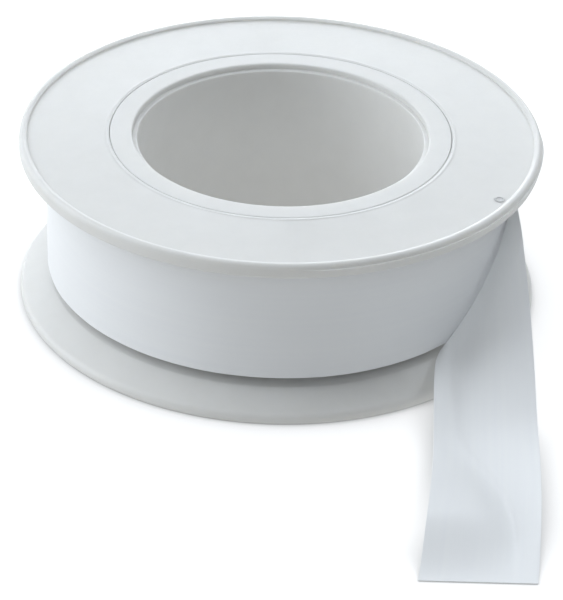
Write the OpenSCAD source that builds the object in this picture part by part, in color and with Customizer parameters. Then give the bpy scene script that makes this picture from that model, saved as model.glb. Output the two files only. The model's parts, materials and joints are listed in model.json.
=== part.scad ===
// Roll of thread seal tape on an open spool with two flanges, its free end lying in front.
// Origin: centre of the bore on the surface that the roll lies on. +Z runs up the bore.

/* [Flanges] */
// How far both flanges stand out past the turns under the outermost one
flange_over = 3.25; // [2:0.05:12]
// Thickness of a flange at its rim
flange_t = 1.4; // [1.1:0.05:1.9]
// Depth of a flange's outer face below its rim, beside the rim
face_recess = 0.35; // [0.25:0.05:0.6]
// Rise of that face from the rim to the hub
face_rise = 0.25; // [0.1:0.05:0.25]
// Width of the raised rim
rim_w = 1.1; // [0.9:0.05:2]
// Rounding of the rim's outer edges
rim_round = 0.35; // [0.2:0.05:0.5]

/* [Hub] */
// Diameter of the bore
bore_d = 31.7; // [24:0.1:40]
// Width of the ledge inside the mouth
ledge_w = 0.55; // [0.3:0.05:1]
// Depth of the ledge below the hub's end
ledge_depth = 0.65; // [0.4:0.05:1.5]
// Rounding of the mouth's edge
mouth_round = 0.3; // [0.1:0.05:0.35]
// Width of the hub's end, from the mouth to the seam around it
end_w = 2.5; // [2:0.05:3.2]
// Width of the shoulder that the upper flange sits on
shoulder_w = 0.7; // [0.5:0.05:1.5]
// Wall on both sides of the slot that lightens the hub from below
hub_wall = 1.2; // [0.9:0.05:1.4]
// Thickness of the hub's end over that slot
slot_roof = 2; // [1.5:0.1:4]

/* [Moulding marks] */
// Rounding of both edges at the seam
seam_round = 0.15; // [0.05:0.05:0.25]
// Radius of the section of the fine bead outside the seam
bead_r = 0.2; // [0.1:0.05:0.3]
// Height of that bead above the face
bead_h = 0.08; // [0.04:0.01:0.15]
// Outer diameter of the small round mark near the rim
mark_d = 1.5; // [1:0.1:2.5]
// Wall of that mark
mark_wall = 0.3; // [0.2:0.05:0.4]
// Height of that mark above the face
mark_h = 0.12; // [0.05:0.01:0.2]
// Distance of that mark's centre from the flange's edge
mark_in = 2.45; // [2.2:0.05:6]
// Direction of that mark, turned from +X
mark_turn = -29; // [-180:1:180]

/* [Tape] */
// Width of the tape
tape_w = 12.7; // [6:0.1:25]
// Room between the lower flange and the tape
low_room = 2.55; // [0.3:0.05:5]
// Room between the tape and the upper flange
high_room = 1.55; // [0.3:0.05:5]
// Thickness of the film
film_t = 0.1; // [0.08:0.01:0.2]
// Depth of the turns wound on the hub, under the outermost one
wound_depth = 6.1; // [2:0.1:12]

/* [Free end] */
// Where the upper edge leaves the winding, turned from +X
leave_top = -1; // [-15:1:10]
// Where the lower edge leaves the winding, turned from +X
leave_bottom = -43; // [-60:1:-40]
// Open stretch between the lower edge's leaving point and the start of the outermost turn, in degrees
turn_open = 8; // [4:1:20]
// Room beyond the flange before the tape lands
land_out = 1.8; // [1:0.1:8]
// Length of tape that lies flat
flat_len = 24.9; // [10:0.1:80]
// Outward turn of the lower edge in plan, in degrees
fan_bottom = 2; // [-4:0.5:6]
// Outward turn of the upper edge in plan, in degrees
fan_top = 9; // [4:0.5:12]
// Length over which the lower edge bends away from the winding
bend_bottom = 2.1; // [1:0.1:4]
// Length over which the upper edge bends away from the winding
bend_top = 4; // [2:0.1:8]
// Radius of the tape's slow sweep in plan
sweep_r = 207; // [150:1:600]
// Softness of the landing
land_soft = 0.55; // [0.2:0.05:1.5]

/* [Clearances] */
// Gap between the hub's end and the upper flange pressed over it
press_gap = 0.05; // [0.02:0.01:0.15]
// Gap between the hub and the turns wound on it
hub_gap = 0.05; // [0.02:0.01:0.15]
// Gap between the turns wound on the hub and the top of the lower flange's slope
root_gap = 0.25; // [0.15:0.05:0.25]
// Gap between the outer edge of those turns and the slope under it
brim_gap = 1.3; // [0.5:0.05:1.5]
// Gap between the outermost turn and the turns under it
turn_gap = 0.12; // [0.12:0.01:0.3]
// Gap between the flat tape and the surface under it
floor_gap = 0.05; // [0.02:0.01:0.2]

/* [Hidden] */
$fn = 96;

// Radii, from the bore outwards: the hub, the turns wound on it and the flanges past them
bore_r = bore_d / 2;
mouth_r = bore_r + ledge_w;
spigot_r = mouth_r + end_w;
seam_r = spigot_r + press_gap;
barrel_r = spigot_r + shoulder_w;
wound_r = barrel_r + hub_gap;
winding_r = wound_r + wound_depth;
flange_r = winding_r + flange_over;
web_r = flange_r - rim_w;

// Heights above the surface that the roll lies on: the flanges stand on both sides of the tape
tape_z = flange_t + low_room;
root_z = tape_z - root_gap;
brim_z = tape_z - brim_gap;
upper_inner_z = tape_z + tape_w + high_room;
spool_h = upper_inner_z + flange_t;
hub_recess = face_recess - face_rise;
hub_top_z = spool_h - hub_recess;
ledge_z = hub_top_z - ledge_depth;

// The tape's outermost turn and free end: a grid of rings along it and columns across it
turn_rings = 72;
free_rings = 40;
near_dense = 1.5;
rings = turn_rings + free_rings;
columns = 6;
turn_r = winding_r + turn_gap + film_t / 2;
floor_z = floor_gap + film_t / 2;
land_y = -(flange_r + land_out);
end_y = land_y - flat_len;
turn_start = leave_bottom - turn_open;

function leave_angle(across) = leave_bottom + (leave_top - leave_bottom) * across;
function on_winding(angle, across) =
    [turn_r * cos(angle), turn_r * sin(angle), tape_z + tape_w * across];

// Point of the outermost turn, at a share of its way round
function turn_point(share, across) =
    on_winding(turn_start + (leave_angle(across) - 360 - turn_start) * share, across);

// A slope that eases into a level line
function eased(rise) = (rise + sqrt(rise * rise + 4 * land_soft * land_soft)) / 2;

// Point of the free end, at a share of its way from the winding to its cut. It leaves along the
// winding and bends towards the front, and its rings lie closer where it bends.
function free_point(share, across) =
    let (angle = leave_angle(across))
    let (from = on_winding(angle, across))
    let (whole_run = from.y - end_y)
    let (run = whole_run * pow(share, near_dense))
    let (drop = from.z - floor_z)
    let (slope = drop / (from.y - land_y))
    let (fan = fan_bottom + (fan_top - fan_bottom) * across)
    let (last = eased(drop - slope * whole_run))
    let (height = (eased(drop - slope * run) - last) / (eased(drop) - last))
    let (bend = bend_bottom + (bend_top - bend_bottom) * across)
    let (held = bend * (tan(fan) - tan(angle)) * (1 - exp(-run / bend)))
    [
        from.x + tan(fan) * run - run * run / (2 * sweep_r) - held,
        from.y - run,
        floor_z + drop * height
    ];

function tape_point(ring, column) =
    ring <= turn_rings
        ? turn_point(ring / turn_rings, column / columns)
        : free_point((ring - turn_rings) / free_rings, column / columns);

function unit(v) = v / norm(v);
function tape_normal(ring, column) =
    let (along = tape_point(min(ring + 1, rings), column) - tape_point(max(ring - 1, 0), column))
    let (across = tape_point(ring, min(column + 1, columns)) - tape_point(ring, max(column - 1, 0)))
    unit(cross(along, across));

// Point of the film's two faces: side is 1 on one of them and -1 on the other
function film_point(ring, column, side) =
    tape_point(ring, column) + side * film_t / 2 * tape_normal(ring, column);

// Least gap between stretches that lie far apart along the tape, on points of its edges
far_rings = 20;
edge_points = [for (ring = [0 : rings]) [tape_point(ring, 0), tape_point(ring, columns)]];
self_gap = min([
    for (i = [0 : rings - far_rings])
    for (j = [i + far_rings : rings])
    for (a = edge_points[i])
    for (b = edge_points[j])
    norm(a - b)
]) - film_t;

// Length of the strip from the start of the outermost turn to the cut, along its middle
function strip_len(ring) =
    ring == 0
        ? 0
        : strip_len(ring - 1) + norm(tape_point(ring, columns / 2) - tape_point(ring - 1, columns / 2));

// Section between two radii and two heights
module ring_section(in_r, out_r, low_z, high_z) {
    translate([in_r, low_z])
        square([out_r - in_r, high_z - low_z]);
}

// Section of a flange's rim: a bar with rounded outer corners
module rim_section(low_z) {
    high_z = low_z + flange_t;
    ring_section(web_r, flange_r - rim_round, low_z, high_z);
    ring_section(web_r, flange_r, low_z + rim_round, high_z - rim_round);
    for (z = [low_z + rim_round, high_z - rim_round])
        translate([flange_r - rim_round, z])
            circle(r = rim_round);
}

// What is cut away to round an upper edge: side is 1 where the solid lies outside the edge
module edge_cut(edge_r, edge_z, round_r, side) {
    difference() {
        translate([edge_r + (side - 1) / 2 * round_r, edge_z - round_r])
            square(round_r);
        translate([edge_r + side * round_r, edge_z - round_r])
            circle(r = round_r);
    }
}

// Lower flange, which slopes up to the turns and on to the hub, and the hub that the tape is wound on
module spool_body() {
    color("whitesmoke")
        rotate_extrude()
            difference() {
                union() {
                    rim_section(0);
                    polygon([
                        [barrel_r, hub_recess],
                        [web_r, face_recess],
                        [web_r, flange_t],
                        [winding_r, brim_z],
                        [barrel_r, root_z]
                    ]);
                    ring_section(bore_r, barrel_r, 0, upper_inner_z);
                    ring_section(bore_r, spigot_r, upper_inner_z, hub_top_z);
                }
                ring_section(bore_r, mouth_r, ledge_z, hub_top_z);
                ring_section(bore_r + hub_wall, barrel_r - hub_wall, 0, hub_top_z - slot_roof);
                edge_cut(mouth_r, hub_top_z, mouth_round, 1);
                edge_cut(spigot_r, hub_top_z, seam_round, -1);
            }
}

// Flange pressed over the hub's end, with its marks
module upper_flange() {
    face_z = spool_h - face_recess;
    bead_at_r = seam_r + seam_round + bead_r;
    color("whitesmoke")
        union() {
            rotate_extrude()
                difference() {
                    union() {
                        rim_section(upper_inner_z);
                        polygon([
                            [seam_r, upper_inner_z],
                            [web_r, upper_inner_z],
                            [web_r, face_z],
                            [seam_r, hub_top_z]
                        ]);
                        translate([bead_at_r, hub_top_z + bead_h - bead_r])
                            circle(r = bead_r);
                    }
                    edge_cut(seam_r, hub_top_z, seam_round, 1);
                }
            rotate(mark_turn)
                translate([flange_r - mark_in, 0, 0])
                    rotate_extrude()
                        ring_section(mark_d / 2 - mark_wall, mark_d / 2, upper_inner_z, face_z + mark_h);
        }
}

// All the turns under the outermost one
module tape_winding() {
    color("white")
        rotate_extrude()
            ring_section(wound_r, winding_r, tape_z, tape_z + tape_w);
}

// Outermost turn and free end, one unbroken strip of film
module tape_end() {
    row = columns + 1;
    layer = row * (rings + 1);
    points = [
        for (side = [1, -1])
        for (ring = [0 : rings])
        for (column = [0 : columns])
        film_point(ring, column, side)
    ];
    faces = [
        // Both faces of the film
        for (side = [0, 1])
        for (ring = [0 : rings - 1])
        for (column = [0 : columns - 1])
        let (a = side * layer + ring * row + column)
        for (half = [[a, a + row, a + row + 1], [a, a + row + 1, a + 1]])
        side == 0 ? half : [half[2], half[1], half[0]],
        // Both long edges
        for (edge = [0, 1])
        for (ring = [0 : rings - 1])
        let (a = ring * row + edge * columns)
        for (half = [[a, a + layer, a + row], [a + row, a + layer, a + row + layer]])
        edge == 0 ? half : [half[2], half[1], half[0]],
        // The inner end and the cut
        for (last = [0, 1])
        for (column = [0 : columns - 1])
        let (a = last * rings * row + column)
        for (half = [[a, a + 1, a + layer], [a + 1, a + 1 + layer, a + layer]])
        last == 0 ? half : [half[2], half[1], half[0]]
    ];
    echo(str("Least gap of the tape to itself: ", self_gap, " mm"));
    echo(str("Length of the outermost turn and free end: ", strip_len(rings), " mm"));
    color("ghostwhite")
        polyhedron(points, faces, convexity = 6);
}

spool_body();
upper_flange();
tape_winding();
tape_end();
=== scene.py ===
"""Looks of a roll of thread seal tape: a white moulded spool, the wound tape and its free end."""

import json
import logging
import math
from collections.abc import Callable, Sequence
from dataclasses import dataclass
from enum import Enum

import bmesh
import bpy
import numpy as np
from mathutils import Matrix, Vector


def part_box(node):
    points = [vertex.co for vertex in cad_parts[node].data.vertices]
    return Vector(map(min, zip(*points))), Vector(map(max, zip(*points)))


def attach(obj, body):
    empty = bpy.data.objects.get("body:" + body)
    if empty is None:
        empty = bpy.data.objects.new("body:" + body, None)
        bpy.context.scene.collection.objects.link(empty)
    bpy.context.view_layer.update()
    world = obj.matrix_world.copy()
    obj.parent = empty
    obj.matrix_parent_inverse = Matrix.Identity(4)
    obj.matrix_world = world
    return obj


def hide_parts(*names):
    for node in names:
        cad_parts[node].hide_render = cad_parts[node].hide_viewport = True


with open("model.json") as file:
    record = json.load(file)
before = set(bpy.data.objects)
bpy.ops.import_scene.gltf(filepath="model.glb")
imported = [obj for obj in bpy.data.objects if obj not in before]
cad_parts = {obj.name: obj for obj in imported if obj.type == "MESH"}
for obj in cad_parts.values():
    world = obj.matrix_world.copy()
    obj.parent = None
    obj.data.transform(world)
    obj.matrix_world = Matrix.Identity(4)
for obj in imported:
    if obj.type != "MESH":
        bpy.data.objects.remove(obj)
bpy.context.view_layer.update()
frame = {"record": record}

LOG = logging.getLogger("tape_roll")
MM = 0.001
FILM_MAP = "film"
SEGMENTS = 288
SAME_POINT_MM = 1e-9

# A layer of the wound film. The real one, about 0.07 mm, is too fine to show, so it is drawn coarser.
LAYER_MM = 0.22

# Spacing of the rings of Blender's wave texture at a scale of 1
WAVE_PERIOD = 0.314

# Sockets of the Mix node in its colour mode, whose names its other modes use too
MIX_FACTOR = 0
MIX_FIRST = 6
MIX_SECOND = 7
MIX_COLOUR = 2


class Node(Enum):
    """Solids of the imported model."""

    SPOOL_BODY = "spool_body"
    UPPER_FLANGE = "upper_flange"
    TAPE_WINDING = "tape_winding"
    TAPE_END = "tape_end"


class Body(Enum):
    """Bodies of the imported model, which the pieces ride on."""

    SPOOL = "spool"
    FREE_TAPE = "free_tape"


class Slot(Enum):
    """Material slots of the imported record."""

    SPOOL_PLASTIC = "spool_plastic"
    TAPE_FILM = "tape_film"


# Helpers for numbers, meshes and shader nodes


def linear(hex_colour: str) -> tuple[float, float, float, float]:
    """Turns an sRGB hex colour to linear.

    Args:
        hex_colour: Colour such as "#E8ECEC".

    Returns:
        Linear red, green and blue, with an alpha of 1.
    """
    channels = (int(hex_colour[i : i + 2], 16) / 255 for i in (1, 3, 5))
    red, green, blue = (c / 12.92 if c <= 0.04045 else ((c + 0.055) / 1.055) ** 2.4 for c in channels)
    return red, green, blue, 1.0


def smooth_step(value: np.ndarray | float, low: float, high: float) -> np.ndarray:
    """Eases from 0 at low to 1 at high.

    Args:
        value: Where to read the step.
        low: Value at which the step leaves 0.
        high: Value at which the step reaches 1.

    Returns:
        The eased values.
    """
    share = np.clip((np.asarray(value, float) - low) / (high - low), 0.0, 1.0)
    return share * share * (3.0 - 2.0 * share)


def waves(angle: np.ndarray, counts: Sequence[int], seed: int) -> np.ndarray:
    """Sums a few waves round a full turn, each with its own start.

    Args:
        angle: Angles in radians.
        counts: Whole waves in a turn.
        seed: Seed of the waves' starts and heights.

    Returns:
        Heights of about -1 to 1.
    """
    draw = np.random.default_rng(seed)
    total = np.zeros_like(angle)
    for count in counts:
        start, height = draw.uniform(0.0, 2.0 * math.pi), draw.uniform(0.5, 1.0)
        total += height * np.cos(count * angle + start)
    return total / math.sqrt(len(counts))


def add_node(
    tree: bpy.types.NodeTree,
    kind: str,
    settings: dict[str | int, object] | None = None,
    links: dict[str | int, bpy.types.NodeSocket] | None = None,
) -> bpy.types.Node:
    """Adds a shader node with its settings and links.

    Args:
        tree: Tree that the node goes into.
        kind: Blender's name of the node's type.
        settings: Values of the node's properties, by name, or of its inputs, by name or number.
        links: Sockets that feed the node's inputs, by the input's name or number.

    Returns:
        The new node.
    """
    node = tree.nodes.new(kind)
    for name, value in (settings or {}).items():
        if isinstance(name, int) or name in node.inputs:
            node.inputs[name].default_value = value
        else:
            setattr(node, name, value)
    for name, socket in (links or {}).items():
        tree.links.new(socket, node.inputs[name])
    return node


def new_material(name: str) -> tuple[bpy.types.Material, bpy.types.NodeTree]:
    """Makes an empty node material.

    Args:
        name: Name of the material.

    Returns:
        The material and its node tree, without nodes.
    """
    material = bpy.data.materials.new(name)
    material.use_nodes = True
    material.node_tree.nodes.clear()
    return material, material.node_tree


def mesh_object(name: str, points: np.ndarray, faces: Sequence[Sequence[int]]) -> bpy.types.Object:
    """Makes a smooth mesh object whose faces all look outwards.

    Args:
        name: Name of the piece.
        points: Points in millimetres.
        faces: Corners of each face, as numbers of points.

    Returns:
        The object, linked to the scene.
    """
    mesh = bpy.data.meshes.new(name)
    mesh.from_pydata((np.asarray(points) * MM).tolist(), [], faces)
    work = bmesh.new()
    work.from_mesh(mesh)
    bmesh.ops.recalc_face_normals(work, faces=work.faces)
    work.to_mesh(mesh)
    work.free()
    mesh.shade_smooth()
    piece = bpy.data.objects.new(name, mesh)
    bpy.context.scene.collection.objects.link(piece)
    return piece


def join(pieces: Sequence[bpy.types.Object]) -> bpy.types.Object:
    """Joins objects into the first one.

    Args:
        pieces: Objects to join.

    Returns:
        The first object, which holds all the meshes.
    """
    with bpy.context.temp_override(
        active_object=pieces[0], selected_editable_objects=list(pieces), object=pieces[0]
    ):
        bpy.ops.object.join()
    return pieces[0]


@dataclass(frozen=True)
class Corner:
    """A corner of a turned section, in millimetres: its radius, its height and how far it is rounded."""

    r: float
    z: float
    rounding: float = 0.05


def rounded(corners: Sequence[Corner], arc_steps: int = 5, hold: float = 0.05) -> np.ndarray:
    """Rounds every corner of a closed section with an arc.

    Args:
        corners: Corners in order round the section.
        arc_steps: Steps of each arc.
        hold: Distance of an extra point beyond each end of an arc, which keeps the flat beside it flat.

    Returns:
        Points of the section, as rows of radius and height, each of them once.
    """
    spots = np.array([(c.r, c.z) for c in corners])
    ahead = np.roll(spots, -1, axis=0) - spots
    edge = np.linalg.norm(ahead, axis=1)
    ahead = ahead / edge[:, None]
    back = -np.roll(ahead, 1, axis=0)
    half = np.arccos(np.clip((ahead * back).sum(1), -1.0, 1.0)) / 2.0
    reach = np.array([c.rounding for c in corners]) / np.tan(half)
    free = edge - reach - np.roll(reach, -1)
    points = []
    for i, corner in enumerate(corners):
        middle = ahead[i] + back[i]
        centre = spots[i] + middle / np.linalg.norm(middle) * corner.rounding / math.sin(half[i])
        start, end = spots[i] + back[i] * reach[i], spots[i] + ahead[i] * reach[i]
        first = math.atan2(*(start - centre)[::-1])
        turn = (math.atan2(*(end - centre)[::-1]) - first + math.pi) % (2.0 * math.pi) - math.pi
        points.append(start + back[i] * min(hold, free[i - 1] / 3.0))
        for step in range(arc_steps + 1):
            angle = first + turn * step / arc_steps
            points.append(centre + corner.rounding * np.array((math.cos(angle), math.sin(angle))))
        points.append(end + ahead[i] * min(hold, free[i] / 3.0))
    section = np.array(points)
    apart = np.linalg.norm(section - np.roll(section, 1, axis=0), axis=1)
    return section[apart > SAME_POINT_MM]


Shape = Callable[[np.ndarray, np.ndarray, np.ndarray], tuple[np.ndarray, np.ndarray]]


def turned(name: str, section: np.ndarray, segments: int, shape: Shape | None = None) -> bpy.types.Object:
    """Turns a closed section round +Z.

    Args:
        name: Name of the piece.
        section: Rows of radius and height, in millimetres.
        segments: Steps round the turn.
        shape: Gives the radii and heights at each angle where the piece isn't quite round.

    Returns:
        The turned object.
    """
    angle = np.linspace(0.0, 2.0 * math.pi, segments, endpoint=False)[:, None]
    r, z = np.broadcast_arrays(section[None, :, 0], section[None, :, 1])
    r, z = np.repeat(r, segments, axis=0), np.repeat(z, segments, axis=0)
    if shape:
        r, z = shape(np.broadcast_to(angle, r.shape), r, z)
    points = np.stack([r * np.cos(angle), r * np.sin(angle), z], axis=-1).reshape(-1, 3)
    row = len(section)
    faces = []
    for i in range(segments):
        near, far = i * row, (i + 1) % segments * row
        for j in range(row):
            k = (j + 1) % row
            faces.append((near + j, far + j, far + k, near + k))
    return mesh_object(name, points, faces)


def dress(
    piece: bpy.types.Object,
    material: bpy.types.Material,
    body: Body,
    node: Node,
) -> bpy.types.Object:
    """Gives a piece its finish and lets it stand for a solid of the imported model.

    Args:
        piece: The finished shape.
        material: Its finish.
        body: Body that it rides on.
        node: Solid that it stands for.

    Returns:
        The same piece.
    """
    piece.data.materials.clear()
    piece.data.materials.append(material)
    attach(piece, body.value)
    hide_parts(node.value)
    return piece


# Finishes


@dataclass(frozen=True)
class MouldedPolypropylene:
    """White polypropylene from a satin mould.

    The eye gets a soft, slightly waxy white: faint clouds where the melt cooled unevenly, a fine grain
    from the mould and a broad, weak gloss. The mould's real grain is too fine to show, so it is drawn
    coarser.
    """

    name: str = "polypropylene_moulded_satin"
    colour: str = "#DDDCD9"
    cloud_colour: str = "#DBDAD7"
    cloud_mm: float = 2.6
    cloud_detail: float = 3.0
    cloud_roughness: float = 0.55
    cloud_span: tuple[float, float] = (0.35, 0.65)
    grain_mm: float = 0.45
    grain_detail: float = 2.0
    grain_span: tuple[float, float] = (0.3, 0.7)
    grain_height_mm: float = 0.01
    grain_strength: float = 0.35
    roughness_low: float = 0.36
    roughness_high: float = 0.5
    ior: float = 1.49
    glow: float = 0.5
    glow_depth_mm: float = 1.1
    glow_tint: tuple[float, float, float] = (1.0, 0.97, 0.9)

    def material(self) -> bpy.types.Material:
        """Builds the shader.

        Returns:
            The material.
        """
        material, tree = new_material(self.name)
        place = add_node(tree, "ShaderNodeTexCoord").outputs["Object"]
        clouds = add_node(
            tree,
            "ShaderNodeTexNoise",
            {
                "Scale": 1.0 / (self.cloud_mm * MM),
                "Detail": self.cloud_detail,
                "Roughness": self.cloud_roughness,
            },
            {"Vector": place},
        ).outputs["Fac"]
        grain = add_node(
            tree,
            "ShaderNodeTexNoise",
            {"Scale": 1.0 / (self.grain_mm * MM), "Detail": self.grain_detail},
            {"Vector": place},
        ).outputs["Fac"]
        patches = add_node(
            tree,
            "ShaderNodeMapRange",
            {"From Min": self.cloud_span[0], "From Max": self.cloud_span[1]},
            {"Value": clouds},
        ).outputs["Result"]
        colour = add_node(
            tree,
            "ShaderNodeMix",
            {"data_type": "RGBA", MIX_FIRST: linear(self.cloud_colour), MIX_SECOND: linear(self.colour)},
            {MIX_FACTOR: patches},
        ).outputs[MIX_COLOUR]
        roughness = add_node(
            tree,
            "ShaderNodeMapRange",
            {
                "From Min": self.grain_span[0],
                "From Max": self.grain_span[1],
                "To Min": self.roughness_low,
                "To Max": self.roughness_high,
            },
            {"Value": grain},
        ).outputs["Result"]
        bump = add_node(
            tree,
            "ShaderNodeBump",
            {"Strength": self.grain_strength, "Distance": self.grain_height_mm * MM},
            {"Height": grain},
        ).outputs["Normal"]
        shader = add_node(
            tree,
            "ShaderNodeBsdfPrincipled",
            {
                "IOR": self.ior,
                "Subsurface Weight": self.glow,
                "Subsurface Radius": self.glow_tint,
                "Subsurface Scale": self.glow_depth_mm * MM,
            },
            {"Base Color": colour, "Roughness": roughness, "Normal": bump},
        )
        add_node(tree, "ShaderNodeOutputMaterial", links={"Surface": shader.outputs["BSDF"]})
        return material


@dataclass(frozen=True)
class CalenderedPtfe:
    """Unsintered PTFE film, drawn between rolls.

    The eye gets a cool, silky white with faint streaks along the tape and hardly any grain.
    """

    name: str = "ptfe_film_calendered"
    colour: str = "#F4F5F5"
    streak_colour: str = "#F2F3F4"
    streak_width_mm: float = 0.6
    streak_length_mm: float = 25.0
    streak_detail: float = 3.0
    streak_span: tuple[float, float] = (0.3, 0.7)
    streak_height_mm: float = 0.004
    streak_strength: float = 0.1
    roughness: float = 0.46
    ior: float = 1.36
    glow: float = 0.3
    glow_depth_mm: float = 0.25
    glow_tint: tuple[float, float, float] = (1.0, 1.0, 1.0)

    def material(self, length_mm: float, width_mm: float) -> bpy.types.Material:
        """Builds the shader on a map that runs 0 to 1 along and across the film.

        Args:
            length_mm: Length of film that the map covers.
            width_mm: Width of film that the map covers.

        Returns:
            The material.
        """
        material, tree = new_material(self.name)
        flat = add_node(tree, "ShaderNodeUVMap", {"uv_map": FILM_MAP}).outputs["UV"]
        spread = add_node(
            tree,
            "ShaderNodeMapping",
            {"Scale": (length_mm / self.streak_length_mm, width_mm / self.streak_width_mm, 1.0)},
            {"Vector": flat},
        ).outputs["Vector"]
        streaks = add_node(
            tree,
            "ShaderNodeTexNoise",
            {"Scale": 1.0, "Detail": self.streak_detail},
            {"Vector": spread},
        ).outputs["Fac"]
        bands = add_node(
            tree,
            "ShaderNodeMapRange",
            {"From Min": self.streak_span[0], "From Max": self.streak_span[1]},
            {"Value": streaks},
        ).outputs["Result"]
        colour = add_node(
            tree,
            "ShaderNodeMix",
            {"data_type": "RGBA", MIX_FIRST: linear(self.streak_colour), MIX_SECOND: linear(self.colour)},
            {MIX_FACTOR: bands},
        ).outputs[MIX_COLOUR]
        bump = add_node(
            tree,
            "ShaderNodeBump",
            {"Strength": self.streak_strength, "Distance": self.streak_height_mm * MM},
            {"Height": streaks},
        ).outputs["Normal"]
        shader = add_node(
            tree,
            "ShaderNodeBsdfPrincipled",
            {
                "Roughness": self.roughness,
                "IOR": self.ior,
                "Subsurface Weight": self.glow,
                "Subsurface Radius": self.glow_tint,
                "Subsurface Scale": self.glow_depth_mm * MM,
            },
            {"Base Color": colour, "Normal": bump},
        )
        add_node(tree, "ShaderNodeOutputMaterial", links={"Surface": shader.outputs["BSDF"]})
        return material


@dataclass(frozen=True)
class WoundFilmEdges:
    """The wound turns of the film, seen from outside and from their edges.

    The eye gets the film's cool white, with fine rings on the sides where the edges lie on each other.
    """

    name: str = "ptfe_film_wound"
    colour: str = "#F3F4F4"
    edge_colour: str = "#E5E6E7"
    layer_mm: float = LAYER_MM
    wobble: float = 1.5
    wobble_detail: float = 2.0
    wobble_scale: float = 0.4
    roughness: float = 0.5
    ior: float = 1.36
    glow: float = 0.6
    glow_depth_mm: float = 1.0
    glow_tint: tuple[float, float, float] = (1.0, 1.0, 1.0)

    def material(self) -> bpy.types.Material:
        """Builds the shader.

        Returns:
            The material.
        """
        material, tree = new_material(self.name)
        place = add_node(tree, "ShaderNodeTexCoord").outputs["Object"]
        rings = add_node(
            tree,
            "ShaderNodeTexWave",
            {
                "wave_type": "RINGS",
                "rings_direction": "Z",
                "Scale": WAVE_PERIOD / (self.layer_mm * MM),
                "Distortion": self.wobble,
                "Detail": self.wobble_detail,
                "Detail Scale": self.wobble_scale,
            },
            {"Vector": place},
        ).outputs["Fac"]
        colour = add_node(
            tree,
            "ShaderNodeMix",
            {"data_type": "RGBA", MIX_FIRST: linear(self.edge_colour), MIX_SECOND: linear(self.colour)},
            {MIX_FACTOR: rings},
        ).outputs[MIX_COLOUR]
        shader = add_node(
            tree,
            "ShaderNodeBsdfPrincipled",
            {
                "Roughness": self.roughness,
                "IOR": self.ior,
                "Subsurface Weight": self.glow,
                "Subsurface Radius": self.glow_tint,
                "Subsurface Scale": self.glow_depth_mm * MM,
            },
            {"Base Color": colour},
        )
        add_node(tree, "ShaderNodeOutputMaterial", links={"Surface": shader.outputs["BSDF"]})
        return material


@dataclass(frozen=True)
class WhiteCard:
    """Matt white card under the roll, lit and lifted by its own glow to a clean white, with a painted
    contact shadow: ambient occlusion dims the glow where the roll stands on it.
    """

    name: str = "card_matt_white"
    colour: str = "#B4B4B4"
    lift_colour: str = "#FFFFFF"
    roughness: float = 0.9
    specular: float = 0.1
    lift: float = 0.7
    painted_shadow_mm: float = 3.8
    painted_shadow_samples: int = 16

    def material(self) -> bpy.types.Material:
        """Builds the shader.

        Returns:
            The material.
        """
        material, tree = new_material(self.name)
        # Painted contact shadow: ambient occlusion near the roll dims the glow that keeps the card white.
        near = add_node(
            tree,
            "ShaderNodeAmbientOcclusion",
            {"samples": self.painted_shadow_samples, "Distance": self.painted_shadow_mm * MM},
        ).outputs["AO"]
        lift = add_node(
            tree, "ShaderNodeMapRange", {"To Max": self.lift}, {"Value": near}
        ).outputs["Result"]
        shader = add_node(
            tree,
            "ShaderNodeBsdfPrincipled",
            {
                "Base Color": linear(self.colour),
                "Roughness": self.roughness,
                "Specular IOR Level": self.specular,
                "Emission Color": linear(self.lift_colour),
            },
            {"Emission Strength": lift},
        )
        add_node(tree, "ShaderNodeOutputMaterial", links={"Surface": shader.outputs["BSDF"]})
        return material


# The roll's sub-assemblies


@dataclass(frozen=True)
class RollSizes:
    """Sizes in millimetres that several pieces share.

    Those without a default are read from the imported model. The others repeat the part's own values.
    """

    flange_r: float
    flange_t: float
    height: float
    bore_r: float
    winding_r: float
    tape_low: float
    tape_high: float
    cut_y: float
    rim_w: float = 1.1
    rim_round: float = 0.35
    face_recess: float = 0.35
    hub_recess: float = 0.1
    mouth_r: float = 16.4
    spigot_r: float = 18.9
    seam_gap: float = 0.05
    barrel_r: float = 19.6
    wound_r: float = 19.65

    @classmethod
    def from_frame(cls, record: dict) -> "RollSizes":
        """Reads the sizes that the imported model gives.

        Args:
            record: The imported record.

        Returns:
            The sizes.
        """
        flange_low, flange_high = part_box(Node.UPPER_FLANGE.value)
        tape_low, tape_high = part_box(Node.TAPE_WINDING.value)
        strip_low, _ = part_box(Node.TAPE_END.value)
        bore = next(mount for mount in record["mounts"] if mount["name"] == "bore")
        return cls(
            flange_r=flange_high.x / MM,
            flange_t=(flange_high.z - flange_low.z) / MM,
            height=flange_high.z / MM,
            bore_r=bore["dims"]["r_mm"],
            winding_r=tape_high.x / MM,
            tape_low=tape_low.z / MM,
            tape_high=tape_high.z / MM,
            cut_y=strip_low.y / MM,
        )

    @property
    def web_r(self) -> float:
        """Radius of the step inside a rim."""
        return self.flange_r - self.rim_w

    @property
    def seam_r(self) -> float:
        """Radius of the upper flange's hole."""
        return self.spigot_r + self.seam_gap

    @property
    def hub_top(self) -> float:
        """Height of the hub's end."""
        return self.height - self.hub_recess

    @property
    def upper_inner(self) -> float:
        """Height of the upper flange's inner face."""
        return self.height - self.flange_t


@dataclass(frozen=True)
class PartingLedge:
    """The fine ledge that the mould's halves leave round a rim, in millimetres."""

    proud: float = 0.2
    rise: float = 0.04
    fall: float = 0.8
    rounding: float = 0.02

    def corners(self, radius: float, height: float) -> list[Corner]:
        """Gives the ledge's three corners on a rim's side.

        Args:
            radius: Radius of the rim.
            height: Height of the ledge.

        Returns:
            The corners from below upwards.
        """
        return [
            Corner(radius, height - self.fall, self.rounding),
            Corner(radius + self.proud, height, self.rounding),
            Corner(radius, height + self.rise, self.rounding),
        ]


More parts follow.
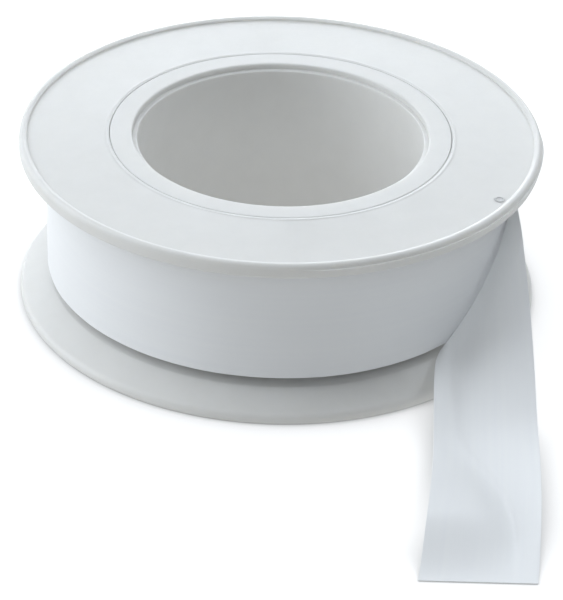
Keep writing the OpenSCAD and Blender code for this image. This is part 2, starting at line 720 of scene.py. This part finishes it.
@dataclass
class SpoolBody:
    """Hub and lower flange, one moulding, with sizes in millimetres."""

    sizes: RollSizes
    hub_wall: float = 1.2
    slot_roof: float = 2.0
    ledge_depth: float = 0.65
    mouth_round: float = 0.2
    seam_round: float = 0.1
    foot_round: float = 0.25
    root_round: float = 0.12
    root_gap: float = 0.25
    brim_gap: float = 1.3
    brim_round: float = 0.8
    edge_drop: float = 0.4
    edge_round: float = 0.7
    slot_foot_round: float = 0.15
    slot_roof_round: float = 0.3
    barrel_foot_round: float = 0.04
    face_foot_round: float = 0.03
    web_round: float = 0.1
    step_round: float = 0.08
    bore_round: float = 0.12

    def section(self) -> np.ndarray:
        """Draws the section, from the foot of the bore outwards and back down the bore.

        Returns:
            Rows of radius and height.
        """
        s = self.sizes
        slot_in, slot_out = s.bore_r + self.hub_wall, s.barrel_r - self.hub_wall
        slot_top = s.hub_top - self.slot_roof
        ledge = s.hub_top - self.ledge_depth
        return rounded(
            [
                Corner(s.bore_r, 0.0, self.foot_round),
                Corner(slot_in, 0.0, self.slot_foot_round),
                Corner(slot_in, slot_top, self.slot_roof_round),
                Corner(slot_out, slot_top, self.slot_roof_round),
                Corner(slot_out, 0.0, self.slot_foot_round),
                Corner(s.barrel_r, 0.0, self.barrel_foot_round),
                Corner(s.barrel_r, s.hub_recess, self.face_foot_round),
                Corner(s.web_r, s.face_recess, self.web_round),
                Corner(s.web_r, 0.0, self.web_round),
                Corner(s.flange_r, 0.0, s.rim_round),
                Corner(s.flange_r, s.flange_t - self.edge_drop, self.edge_round),
                Corner(s.winding_r, s.tape_low - self.brim_gap, self.brim_round),
                Corner(s.barrel_r, s.tape_low - self.root_gap, self.root_round),
                Corner(s.barrel_r, s.upper_inner, self.step_round),
                Corner(s.spigot_r, s.upper_inner, self.step_round),
                Corner(s.spigot_r, s.hub_top, self.seam_round),
                Corner(s.mouth_r, s.hub_top, self.mouth_round),
                Corner(s.mouth_r, ledge, self.step_round),
                Corner(s.bore_r, ledge, self.bore_round),
            ]
        )

    def build(self, material: bpy.types.Material) -> bpy.types.Object:
        """Builds and dresses the piece.

        Args:
            material: The moulded plastic.

        Returns:
            The piece.
        """
        piece = turned("hub_and_lower_flange", self.section(), SEGMENTS)
        return dress(piece, material, Body.SPOOL, Node.SPOOL_BODY)


@dataclass
class UpperFlange:
    """Flange pressed over the hub's end, with sizes in millimetres."""

    sizes: RollSizes
    ledge: PartingLedge
    ledge_below_top: float = 0.58
    ledge_azimuth: float = -40.0
    ledge_fade_cos: tuple[float, float] = (0.66, 0.8)
    side_in: float = 0.14
    rim_draft: float = 0.08
    rim_drop: float = 0.25
    rim_foot: float = 0.6
    hole_round: float = 0.08
    hole_top_round: float = 0.07
    foot_round: float = 0.3
    side_foot_round: float = 0.25
    shoulder_round: float = 0.38
    lip_w: float = 1.0
    lip_slope_w: float = 0.35
    lip_slope_h: float = 0.14
    lip_top_round: float = 0.2
    lip_edge_round: float = 0.08
    face_round: float = 0.1
    seam_round: float = 0.15
    bead_r: float = 0.2
    bead_h: float = 0.05
    bead_top_round: float = 0.08
    bead_foot_round: float = 0.05
    bead_swing: float = 0.5
    bead_dip: float = 0.8
    bead_waves: tuple[int, ...] = (2, 3, 5, 9, 17, 31)
    bead_seed: int = 11
    bead_above: float = 0.5
    mark_d: float = 1.2
    mark_wall: float = 0.26
    mark_h: float = 0.06
    mark_in: float = 1.9
    mark_turn: float = -29.6
    mark_sunk: float = 0.08
    mark_foot_round: float = 0.02
    mark_top_round: float = 0.12
    mark_hold: float = 0.01
    mark_segments: int = 48

    @property
    def bead_at(self) -> float:
        """Radius of the middle of the bead outside the seam."""
        return self.sizes.seam_r + self.seam_round + self.bead_r

    @property
    def side_r(self) -> float:
        """Radius of the rim's side."""
        return self.sizes.flange_r - self.side_in

    def face_height(self, radius: float) -> float:
        """Gives the height of the outer face.

        Args:
            radius: Where to read it.

        Returns:
            The height.
        """
        s = self.sizes
        share = (radius - s.seam_r) / (s.web_r - s.seam_r)
        return s.hub_top + (s.height - s.face_recess - s.hub_top) * share

    def section(self) -> np.ndarray:
        """Draws the section, from the hole outwards and back over the outer face.

        Returns:
            Rows of radius and height.
        """
        s = self.sizes
        bead_top = self.face_height(self.bead_at) + self.bead_h
        bead_in, bead_out = self.bead_at - self.bead_r, self.bead_at + self.bead_r
        lip_r = s.flange_r - self.lip_w
        foot = s.upper_inner - self.rim_drop
        return rounded(
            [
                Corner(s.seam_r, s.upper_inner, self.hole_round),
                Corner(s.web_r - self.rim_foot, s.upper_inner, self.foot_round),
                Corner(s.web_r, foot, self.foot_round),
                Corner(self.side_r - self.rim_draft, foot, self.side_foot_round),
                *self.ledge.corners(self.side_r, s.height - self.ledge_below_top),
                Corner(self.side_r - self.rim_draft, s.height, self.shoulder_round),
                Corner(lip_r + self.lip_slope_w, s.height, self.lip_top_round),
                Corner(lip_r, s.height - self.lip_slope_h, self.lip_edge_round),
                Corner(lip_r, s.height - s.face_recess, self.face_round),
                Corner(bead_out, self.face_height(bead_out), self.face_round),
                Corner(self.bead_at, bead_top, self.bead_top_round),
                Corner(bead_in, self.face_height(bead_in), self.bead_foot_round),
                Corner(s.seam_r, s.hub_top, self.hole_top_round),
            ]
        )

    def uneven(self, angle: np.ndarray, r: np.ndarray, z: np.ndarray) -> tuple[np.ndarray, np.ndarray]:
        """Varies the bead's height round the seam and lets the rim's ledge fade out, as on a worn mould.

        Args:
            angle: Angle of each point, in radians.
            r: Its radius.
            z: Its height.

        Returns:
            The changed radii and heights.
        """
        near = smooth_step(np.cos(angle - math.radians(self.ledge_azimuth)), *self.ledge_fade_cos)
        r = np.minimum(r, self.side_r) + np.maximum(r - self.side_r, 0.0) * near
        upper = z > self.sizes.upper_inner + self.bead_above
        on_bead = np.exp(-(((r - self.bead_at) / self.bead_r) ** 2)) * upper
        rise = self.bead_swing * self.bead_h * waves(angle, self.bead_waves, self.bead_seed)
        return r, z + np.maximum(rise, -self.bead_dip * self.bead_h) * on_bead

    def ring_mark(self) -> bpy.types.Object:
        """Makes the small ring that stands on the face near the rim.

        Returns:
            The ring, whose foot is sunk in the face.
        """
        outer = self.mark_d / 2.0
        middle = self.sizes.flange_r - self.mark_in
        face = self.face_height(middle)
        foot, top = face - self.mark_sunk, face + self.mark_h
        section = rounded(
            [
                Corner(outer - self.mark_wall, foot, self.mark_foot_round),
                Corner(outer, foot, self.mark_foot_round),
                Corner(outer, top, self.mark_top_round),
                Corner(outer - self.mark_wall, top, self.mark_top_round),
            ],
            hold=self.mark_hold,
        )
        ring = turned("ring_mark", section, self.mark_segments)
        ring.data.transform(Matrix.Translation((middle * MM, 0.0, 0.0)))
        ring.data.transform(Matrix.Rotation(math.radians(self.mark_turn), 4, "Z"))
        return ring

    def build(self, material: bpy.types.Material) -> bpy.types.Object:
        """Builds and dresses the piece.

        Args:
            material: The moulded plastic.

        Returns:
            The piece.
        """
        piece = turned("upper_flange_ring", self.section(), SEGMENTS, self.uneven)
        piece = join([piece, self.ring_mark()])
        return dress(piece, material, Body.SPOOL, Node.UPPER_FLANGE)


@dataclass
class TapeWinding:
    """All the turns under the outermost one, with sizes in millimetres."""

    sizes: RollSizes
    layer: float = LAYER_MM
    crown: tuple[float, float] = (0.25, 0.75)
    groove: float = 0.05
    stray: float = 0.06
    stray_seed: int = 5
    sharp_angle: float = 50.0

    def side(self, height: float, outwards: float) -> list[tuple[float, float]]:
        """Draws one side of the winding: the edges of the turns, none quite level with the next.

        Args:
            height: Height of the side.
            outwards: 1 for the upper side and -1 for the lower one.

        Returns:
            Points from the hub outwards, as radius and height.
        """
        s = self.sizes
        count = round((s.winding_r - s.wound_r) / self.layer)
        pitch = (s.winding_r - s.wound_r) / count
        draw = np.random.default_rng(self.stray_seed)
        points = []
        for i in range(count):
            inner = s.wound_r + i * pitch
            level = height - outwards * draw.uniform(0.0, self.stray)
            points.append((inner, level - outwards * self.groove))
            points.extend((inner + share * pitch, level) for share in self.crown)
        points.append((s.winding_r, height - outwards * self.groove))
        return points

    def build(self, finish: WoundFilmEdges) -> bpy.types.Object:
        """Builds and dresses the piece.

        Args:
            finish: The wound film.

        Returns:
            The piece.
        """
        s = self.sizes
        section = self.side(s.tape_low, -1.0) + self.side(s.tape_high, 1.0)[::-1]
        piece = turned("wound_turns", np.array(section), SEGMENTS)
        piece.data.set_sharp_from_angle(angle=math.radians(self.sharp_angle))
        return dress(piece, finish.material(), Body.SPOOL, Node.TAPE_WINDING)


@dataclass
class TapeEnd:
    """Outermost turn and free end, one unbroken strip, with sizes in millimetres."""

    sizes: RollSizes
    film_t: float = 0.1
    turn_gap: float = 0.12
    tight_gap: float = 0.01
    floor_gap: float = 0.05
    leave_top: float = -1.0
    leave_bottom: float = -43.0
    turn_open: float = 1.0
    lift_bottom: float = 0.09
    lift_top: float = 0.27
    lift_length: float = 0.45
    settle: float = 15.0
    ripple: float = 0.018
    ripple_counts: tuple[int, ...] = (5, 9, 14, 22)
    ripple_seed: int = 3
    start_t: float = 0.02
    start_length: float = 4.0
    land_out: float = 1.8
    fan_bottom: float = 2.0
    fan_top: float = 9.0
    bend_bottom: float = 2.1
    bend_top: float = 4.0
    sweep_r: float = 207.0
    land_soft: float = 0.55
    fold_soft: float = 0.3
    fold_reach: float = 3.0
    fold_edge: int = 4
    crease_start: float = 0.14
    crease_slope: float = 0.1
    crease_sweep: float = 0.48
    crease_bend: tuple[float, float] = (0.35, 0.85)
    crease_in: tuple[float, float] = (0.02, 0.2)
    crease_out: tuple[float, float] = (0.8, 1.0)
    crease_soft: float = 0.5
    crease_reach: float = 4.2
    left_tilt: float = 36.0
    right_tilt: float = 29.0
    ridge_height: float = 0.06
    ridge_width: float = 0.35
    ridge_out: tuple[float, float] = (0.15, 0.45)
    sharp_angle: float = 60.0
    turn_rings: int = 320
    free_rings: int = 150
    columns: int = 60

    @property
    def width(self) -> float:
        """Width of the tape."""
        return self.sizes.tape_high - self.sizes.tape_low

    @property
    def floor_z(self) -> float:
        """Height of the film's middle where it lies flat."""
        return self.floor_gap + self.film_t / 2.0

    def leave_angle(self, across: np.ndarray) -> np.ndarray:
        """Gives the angle at which each line along the tape leaves the winding, in radians."""
        return np.radians(self.leave_bottom + (self.leave_top - self.leave_bottom) * across)

    def thickness(self, share: np.ndarray) -> np.ndarray:
        """Gives the film's thickness at shares of the turn, thin where the strip goes on under itself."""
        passed = share * (2.0 * math.pi - math.radians(self.turn_open)) * self.sizes.winding_r
        return self.start_t + (self.film_t - self.start_t) * smooth_step(passed, 0.0, self.start_length)

    def turn_points(self, share: np.ndarray, across: np.ndarray) -> np.ndarray:
        """Gives points of the outermost turn.

        Args:
            share: Shares of the way round, as a column.
            across: Places across the tape, from 0 at its lower edge to 1, as a row.

        Returns:
            Points, indexed by share and across.
        """
        leave = self.leave_angle(across)
        start = leave - math.radians(self.turn_open)
        angle = start + (leave - 2.0 * math.pi - start) * share
        passed = (start - angle) * self.sizes.winding_r
        ahead = (angle - leave + 2.0 * math.pi) * self.sizes.winding_r
        loose = smooth_step(passed, 0.0, self.settle) * smooth_step(ahead, 0.0, self.settle)
        gap = self.tight_gap + (self.turn_gap - self.tight_gap) * loose
        ripple = self.ripple * loose * waves(angle, self.ripple_counts, self.ripple_seed)
        lift = self.lift_bottom + (self.lift_top - self.lift_bottom) * across
        lift = lift * np.exp(-passed / self.lift_length)
        radius = self.sizes.winding_r + gap + self.thickness(share) / 2.0 + ripple + lift
        height = np.broadcast_to(self.sizes.tape_low + self.width * across, angle.shape)
        return np.stack([radius * np.cos(angle), radius * np.sin(angle), height], axis=-1)

    def eased(self, rise: np.ndarray) -> np.ndarray:
        """Eases a slope into a level line."""
        return (rise + np.sqrt(rise * rise + 4.0 * self.land_soft**2)) / 2.0

    def free_points(self, share: np.ndarray, across: np.ndarray) -> np.ndarray:
        """Gives points of the free end, from the winding to the cut.

        Args:
            share: Shares of the way to the cut, as a column.
            across: Places across the tape, as a row.

        Returns:
            Points, indexed by share and across.
        """
        start = self.turn_points(np.ones((1, 1)), across)[0]
        whole_run = start[:, 1] - self.sizes.cut_y
        run = whole_run * share
        drop = start[:, 2] - self.floor_z
        land_y = -(self.sizes.flange_r + self.land_out)
        slope = drop / (start[:, 1] - land_y)
        fan = np.radians(self.fan_bottom + (self.fan_top - self.fan_bottom) * across)
        last = self.eased(drop - slope * whole_run)
        height = (self.eased(drop - slope * run) - last) / (self.eased(drop) - last)
        bend = self.bend_bottom + (self.bend_top - self.bend_bottom) * across
        held = bend * (np.tan(fan) - np.tan(self.leave_angle(across))) * (1.0 - np.exp(-run / bend))
        x = start[:, 0] + np.tan(fan) * run - run * run / (2.0 * self.sweep_r) - held
        return np.stack([x, start[:, 1] - run, self.floor_z + drop * height], axis=-1)

    def softened(self, points: np.ndarray) -> np.ndarray:
        """Rounds the fold where the tape leaves the winding.

        Each pass halves the way to the middle of a point's neighbours, which blurs by the root of half a
        ring, so twice the square of the wanted blur gives the number of passes.

        Args:
            points: Points, indexed along and across the tape.

        Returns:
            The changed points.
        """
        rows = np.arange(len(points))
        spacing = np.linalg.norm(np.diff(points, axis=0), axis=-1)[self.turn_rings].mean()
        reach = self.fold_reach * self.fold_soft / spacing
        window = np.exp(-(((rows - self.turn_rings) / reach) ** self.fold_edge))[1:-1, None, None]
        for _ in range(round(2.0 * (self.fold_soft / spacing) ** 2)):
            middle = (points[:-2] + points[2:]) / 2.0
            points[1:-1] += 0.5 * window * (middle - points[1:-1])
        return points

    def creased(self, points: np.ndarray, across: np.ndarray) -> np.ndarray:
        """Adds the soft crease that runs from the fold slantwise down the free end.

        Args:
            points: Points, indexed along and across the tape.
            across: Places across the tape, as a row.

        Returns:
            The changed points.
        """
        share = (np.arange(len(points)) - self.turn_rings) / self.free_rings
        share = np.clip(share, 0.0, 1.0)[:, None]
        line = self.crease_start + self.crease_slope * share
        line = line + self.crease_sweep * smooth_step(share, *self.crease_bend)
        aside = (across - line) * self.width
        away = np.sqrt(aside**2 + self.crease_soft**2) - self.crease_soft
        rise = self.crease_reach * np.tanh(away / self.crease_reach)
        left = math.tan(math.radians(self.left_tilt)) * rise
        right = math.tan(math.radians(self.right_tilt)) * rise
        ridge = self.ridge_height * np.exp(-((aside / self.ridge_width) ** 2))
        ridge = ridge * (1.0 - smooth_step(share, *self.ridge_out))
        fade = smooth_step(share, *self.crease_in) * (1.0 - smooth_step(share, *self.crease_out))
        points[..., 2] += fade * (np.where(aside < 0.0, left, right) + ridge)
        return points

    def mid_surface(self) -> np.ndarray:
        """Gives the film's middle.

        Returns:
            Points, indexed along and across the tape.
        """
        across = np.linspace(0.0, 1.0, self.columns + 1)[None, :]
        turn = self.turn_points(np.linspace(0.0, 1.0, self.turn_rings + 1)[:, None], across)
        free = self.free_points(np.linspace(0.0, 1.0, self.free_rings + 1)[1:, None], across[0])
        points = self.softened(np.concatenate([turn, free]))
        return self.creased(points, across)

    @staticmethod
    def closed_faces(rings: int, row: int) -> np.ndarray:
        """Gives the faces of the film: its two sides and the edges that close it.

        Args:
            rings: Points along the film.
            row: Points across it.

        Returns:
            Four numbers of points for each face. The second side's points follow the first side's.
        """
        layer = rings * row
        number = np.arange(layer).reshape(rings, row)
        a, b, c, d = number[:-1, :-1], number[1:, :-1], number[1:, 1:], number[:-1, 1:]
        skin = np.stack([a, b, c, d], axis=-1).reshape(-1, 4)
        rim = np.concatenate([number[:-1, 0], number[-1, :-1], number[:0:-1, -1], number[0, :0:-1]])
        ahead = np.roll(rim, -1)
        edges = np.stack([rim, rim + layer, ahead + layer, ahead], axis=-1)
        return np.concatenate([skin, skin[:, ::-1] + layer, edges])

    def build(self, finish: CalenderedPtfe) -> bpy.types.Object:
        """Builds and dresses the piece.

        Args:
            finish: The film.

        Returns:
            The piece.
        """
        middle = self.mid_surface()
        along, aside = np.gradient(middle, axis=0), np.gradient(middle, axis=1)
        normal = np.cross(along, aside)
        normal /= np.linalg.norm(normal, axis=-1, keepdims=True)
        rings, row = middle.shape[:2]
        thick = self.thickness(np.clip(np.arange(rings) / self.turn_rings, 0.0, 1.0))[:, None, None]
        points = np.concatenate([middle + normal * thick / 2.0, middle - normal * thick / 2.0])
        faces = self.closed_faces(rings, row).tolist()
        piece = mesh_object("outer_turn_and_free_end", points.reshape(-1, 3), faces)
        piece.data.set_sharp_from_angle(angle=math.radians(self.sharp_angle))
        length = float(np.linalg.norm(np.diff(middle[:, row // 2], axis=0), axis=-1).sum())
        self.map_film(piece, rings, row)
        LOG.info("strip of film, %.1f by %.1f mm", self.width, length)
        material = finish.material(length, self.width)
        return dress(piece, material, Body.FREE_TAPE, Node.TAPE_END)

    @staticmethod
    def map_film(piece: bpy.types.Object, rings: int, row: int) -> None:
        """Lays a map on the film that runs 0 to 1 along it and across it.

        Args:
            piece: The strip.
            rings: Points along it.
            row: Points across it.
        """
        corners = np.empty(len(piece.data.loops), dtype=np.int32)
        piece.data.loops.foreach_get("vertex_index", corners)
        corners %= rings * row
        flat = np.stack([corners // row / (rings - 1), corners % row / (row - 1)], axis=-1)
        layer = piece.data.uv_layers.new(name=FILM_MAP)
        layer.uv.foreach_set("vector", flat.astype(np.float32).ravel())


# The studio


@dataclass(frozen=True)
class Softbox:
    """A square soft light, aimed at the roll: its place in degrees and metres, its power and its size."""

    name: str
    azimuth: float
    elevation: float
    power: float
    distance: float = 0.8
    size: float = 0.5
    colour: str = "#F3F9FF"

    def build(self, aim: Vector) -> None:
        """Adds the light.

        Args:
            aim: Point that the light looks at.
        """
        a, e = math.radians(self.azimuth), math.radians(self.elevation)
        away = Vector((math.cos(a) * math.cos(e), math.sin(a) * math.cos(e), math.sin(e)))
        light = bpy.data.lights.new(self.name, "AREA")
        light.size = self.size
        light.energy = self.power
        light.color = linear(self.colour)[:3]
        holder = bpy.data.objects.new(self.name, light)
        holder.location = aim + away * self.distance
        holder.rotation_euler = (-away).to_track_quat("-Z", "Y").to_euler()
        bpy.context.scene.collection.objects.link(holder)


@dataclass
class Studio:
    """White card, soft lights and the room's pale surroundings, in metres."""

    floor_side: float = 6.0
    floor_drop: float = 0.00002
    aim_height: float = 0.01
    room_colour: str = "#F3F9FF"
    card_colour: str = "#F7FAFB"
    room_strength: float = 0.01
    card_strength: float = 0.59
    horizon: float = 0.1
    softboxes: tuple[Softbox, ...] = (
        Softbox("left_low_softbox", 180.0, 15.0, 3.0),
        Softbox("left_softbox", 180.0, 45.0, 2.04),
        Softbox("left_high_softbox", 180.0, 70.0, 0.71),
        Softbox("back_left_softbox", 135.0, 20.0, 1.47),
        Softbox("back_softbox", 90.0, 15.0, 2.88),
        Softbox("top_softbox", 90.0, 88.0, 0.32),
        Softbox("back_right_softbox", 45.0, 40.0, 2.18),
        Softbox("right_softbox", 0.0, 45.0, 1.05),
        Softbox("right_low_softbox", 0.0, 15.0, 0.36),
        Softbox("front_softbox", -90.0, 35.0, 1.15),
        Softbox("front_low_softbox", -90.0, 15.0, 0.26),
    )

    def lay_floor(self, finish: WhiteCard) -> None:
        """Lays the card that the roll stands on.

        The room gives the light that such a card throws back, so the card neither adds nor blocks any.

        Args:
            finish: The floor's card.
        """
        half = self.floor_side / 2.0
        mesh = bpy.data.meshes.new("floor")
        square = [(-half, -half), (half, -half), (half, half), (-half, half)]
        mesh.from_pydata([(x, y, -self.floor_drop) for x, y in square], [], [(0, 1, 2, 3)])
        mesh.materials.append(finish.material())
        floor = bpy.data.objects.new("floor", mesh)
        floor.visible_diffuse = False
        floor.visible_shadow = False
        bpy.context.scene.collection.objects.link(floor)

    def light_room(self) -> None:
        """Sets the light of the room above the horizon and of the card below it."""
        world = bpy.data.worlds.new("room")
        world.use_nodes = True
        world.node_tree.nodes.clear()
        tree = world.node_tree
        direction = add_node(tree, "ShaderNodeTexCoord").outputs["Generated"]
        height = add_node(tree, "ShaderNodeSeparateXYZ", links={"Vector": direction}).outputs["Z"]
        above = add_node(
            tree,
            "ShaderNodeMapRange",
            {"From Min": -self.horizon, "From Max": self.horizon},
            {"Value": height},
        ).outputs["Result"]
        strength = add_node(
            tree,
            "ShaderNodeMapRange",
            {"To Min": self.card_strength, "To Max": self.room_strength},
            {"Value": above},
        ).outputs["Result"]
        colour = add_node(
            tree,
            "ShaderNodeMix",
            {
                "data_type": "RGBA",
                MIX_FIRST: linear(self.card_colour),
                MIX_SECOND: linear(self.room_colour),
            },
            {MIX_FACTOR: above},
        ).outputs[MIX_COLOUR]
        room = add_node(tree, "ShaderNodeBackground", links={"Color": colour, "Strength": strength})
        add_node(tree, "ShaderNodeOutputWorld", links={"Surface": room.outputs["Background"]})
        bpy.context.scene.world = world

    def build(self, finish: WhiteCard) -> None:
        """Lays the floor and sets the lights.

        Args:
            finish: The floor's card.
        """
        self.lay_floor(finish)
        for softbox in self.softboxes:
            softbox.build(Vector((0.0, 0.0, self.aim_height)))
        self.light_room()
        bpy.context.scene.view_settings.view_transform = "Standard"


@dataclass(frozen=True)
class PhotoCamera:
    """Camera at the photograph's place: millimetres and degrees."""

    distance: float = 339.1
    elevation: float = 30.10
    aim_height: float = 8.593
    yaw: float = 0.10
    pitch: float = -1.571
    roll: float = 1.58
    lens: float = 180.9
    nearest: float = 10.0

    def build(self) -> None:
        """Adds the camera and makes it the scene's own."""
        e, yaw, pitch, roll = (math.radians(v) for v in (self.elevation, self.yaw, self.pitch, self.roll))
        ahead = Vector((0.0, math.cos(e), -math.sin(e)))
        right = Vector((1.0, 0.0, 0.0))
        up = right.cross(ahead)
        place = Vector((0.0, 0.0, self.aim_height)) - ahead * self.distance
        look = ahead * math.cos(yaw) * math.cos(pitch) + right * math.sin(yaw) * math.cos(pitch)
        look = (look + up * math.sin(pitch)).normalized()
        level = look.cross(up).normalized()
        above = level.cross(look)
        side = level * math.cos(roll) + above * math.sin(roll)
        top = above * math.cos(roll) - level * math.sin(roll)
        camera = bpy.data.cameras.new("photo_camera")
        camera.lens = self.lens
        camera.clip_start = self.nearest * MM
        holder = bpy.data.objects.new("photo_camera", camera)
        turn = Matrix((side, top, -look)).transposed()
        holder.matrix_world = Matrix.Translation(place * MM) @ turn.to_4x4()
        bpy.context.scene.collection.objects.link(holder)
        bpy.context.scene.camera = holder


def main() -> None:
    """Builds the studio and the roll's pieces in order."""
    logging.basicConfig(level=logging.INFO)
    PhotoCamera().build()
    Studio().build(WhiteCard())
    sizes = RollSizes.from_frame(frame["record"])
    plastic = MouldedPolypropylene().material()
    pieces = [
        SpoolBody(sizes).build(plastic),
        UpperFlange(sizes, PartingLedge()).build(plastic),
        TapeWinding(sizes).build(WoundFilmEdges()),
        TapeEnd(sizes).build(CalenderedPtfe()),
    ]
    for piece in pieces:
        LOG.info("%s in %s: %d faces", piece.name, piece.active_material.name, len(piece.data.polygons))


if __name__ == "__main__":
    main()
